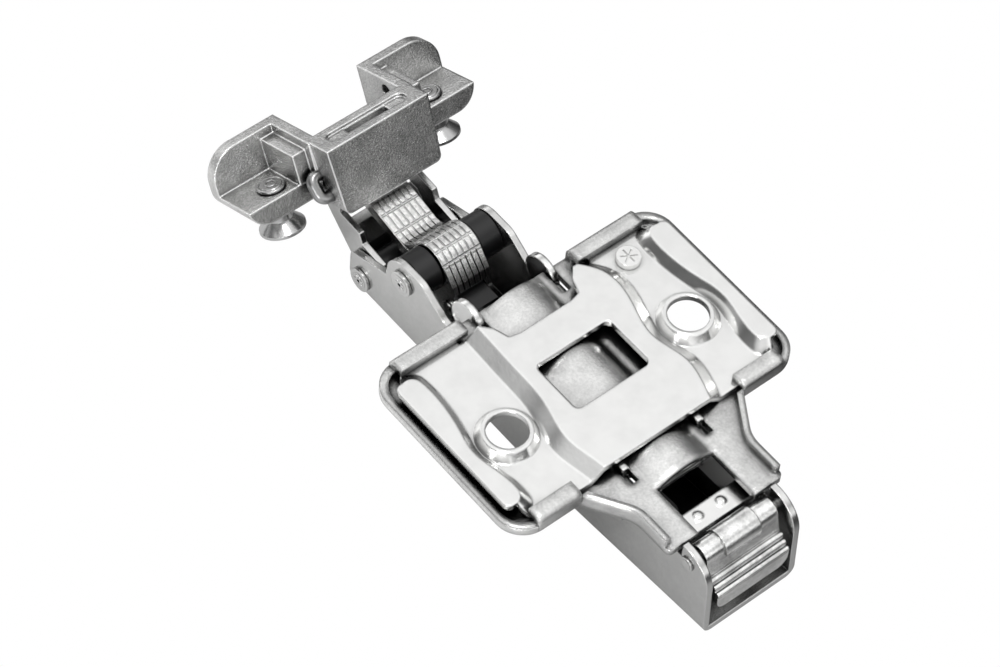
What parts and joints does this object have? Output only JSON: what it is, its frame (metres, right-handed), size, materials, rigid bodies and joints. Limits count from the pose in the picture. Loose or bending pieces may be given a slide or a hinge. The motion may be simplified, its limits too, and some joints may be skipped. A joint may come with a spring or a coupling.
{
  "type": "concealed cabinet hinge",
  "caption": "Concealed clip-on cabinet hinge with a damped link mechanism, a height-adjustable cross plate and a clamp fitting for a narrow aluminium door frame.",
  "frame": {"origin": "midway between the two screw holes, on the face that lies against the cabinet side", "axes": "+Z out of the contact face into the cabinet side, +X towards the cabinet's front and the door, +Y along the row of screw holes"},
  "size_m": [0.0955, 0.0506, 0.0242],
  "materials": {
    "plate_steel": "nickel plated, pressed",
    "arm_steel": "nickel plated, satin",
    "link_steel": "nickel plated, blanked edges",
    "pin_steel": "bright",
    "screw_steel": "nickel plated",
    "spring_steel": "dark",
    "cast_zinc": "nickel plated zinc casting, slightly grainy",
    "damper_shell": "satin",
    "black_plastic": "matte"
  },
  "bodies": {
    "plate": {"base_plate": "plate_steel"},
    "height_cam": {"height_eccentric": "plate_steel"},
    "carriage": {"carriage_plate": "plate_steel"},
    "arm": {"adapter": "plate_steel", "arm_channel": "arm_steel", "outer_link_pin": "pin_steel", "inner_link_pin": "pin_steel", "tie_pin": "pin_steel", "lever_pin": "pin_steel", "left_pivot_sleeve": "black_plastic", "right_pivot_sleeve": "black_plastic", "outer_pivot_spacer": "black_plastic", "lever_spring": "spring_steel", "damper_housing": "black_plastic", "damper_cylinder": "damper_shell", "damper_rod": "pin_steel"},
    "lever": {"release_lever": "arm_steel"},
    "outer_link": {"outer_link": "arm_steel"},
    "door": {"door_fitting": "cast_zinc", "door_fitting_pin": "pin_steel", "left_clamp_screw": "screw_steel", "right_clamp_screw": "screw_steel"},
    "inner_link": {"inner_link_leaf_1": "link_steel", "inner_link_leaf_2": "link_steel", "inner_link_leaf_3": "link_steel", "inner_link_leaf_4": "link_steel", "inner_link_leaf_5": "link_steel", "inner_link_leaf_6": "link_steel", "inner_link_leaf_7": "link_steel", "damper_link_pin": "pin_steel"},
    "slider": {"damper_slider": "black_plastic"}
  },
  "joints": [
    {"name": "height_adjust", "type": "slide", "parent": "plate", "child": "carriage", "axis": [0, 1, 0], "range_m": [-0.00115, 0.00115]},
    {"name": "height_cam_turn", "type": "hinge", "parent": "plate", "child": "height_cam", "pos_m": [0.0126, -0.01604, 0], "axis": [0, 0, 1], "range_deg": [-45, 45]},
    {"name": "depth_adjust", "type": "slide", "parent": "carriage", "child": "arm", "axis": [1, 0, 0], "range_m": [-0.0018, 0]},
    {"name": "lever_turn", "type": "hinge", "parent": "arm", "child": "lever", "pos_m": [-0.0283, 0, -0.0049], "axis": [0, 1, 0], "range_deg": [0, 20], "stiffness_Nm_per_rad": 0.02},
    {"name": "outer_link_swing", "type": "hinge", "parent": "arm", "child": "outer_link", "pos_m": [0.0403, 0, -0.0164], "axis": [0, -1, 0], "range_deg": [-1.3, 0.6]},
    {"name": "door_swing", "type": "hinge", "parent": "outer_link", "child": "door", "pos_m": [0.05037, 0, -0.00248], "axis": [0, -1, 0], "range_deg": [-63.7, 27.4]},
    {"name": "inner_link_swing", "type": "hinge", "parent": "door", "child": "inner_link", "pos_m": [0.0476, 0, -0.0046], "axis": [0, -1, 0], "range_deg": [-32.8, 76]},
    {"name": "damper_slider_pivot", "type": "hinge", "parent": "inner_link", "child": "slider", "pos_m": [0.0271, 0, -0.0126], "axis": [0, -1, 0], "range_deg": [-11, 4.8]}
  ],
  "couplings": [
    {"joint": "height_cam_turn", "follows": "height_adjust", "rad_per_m": 680},
    {"joint": "outer_link_swing", "follows": "door_swing", "ratio": 0.01916},
    {"joint": "inner_link_swing", "follows": "door_swing", "ratio": -1.1904},
    {"joint": "damper_slider_pivot", "follows": "door_swing", "ratio": 0.17122}
  ]
}
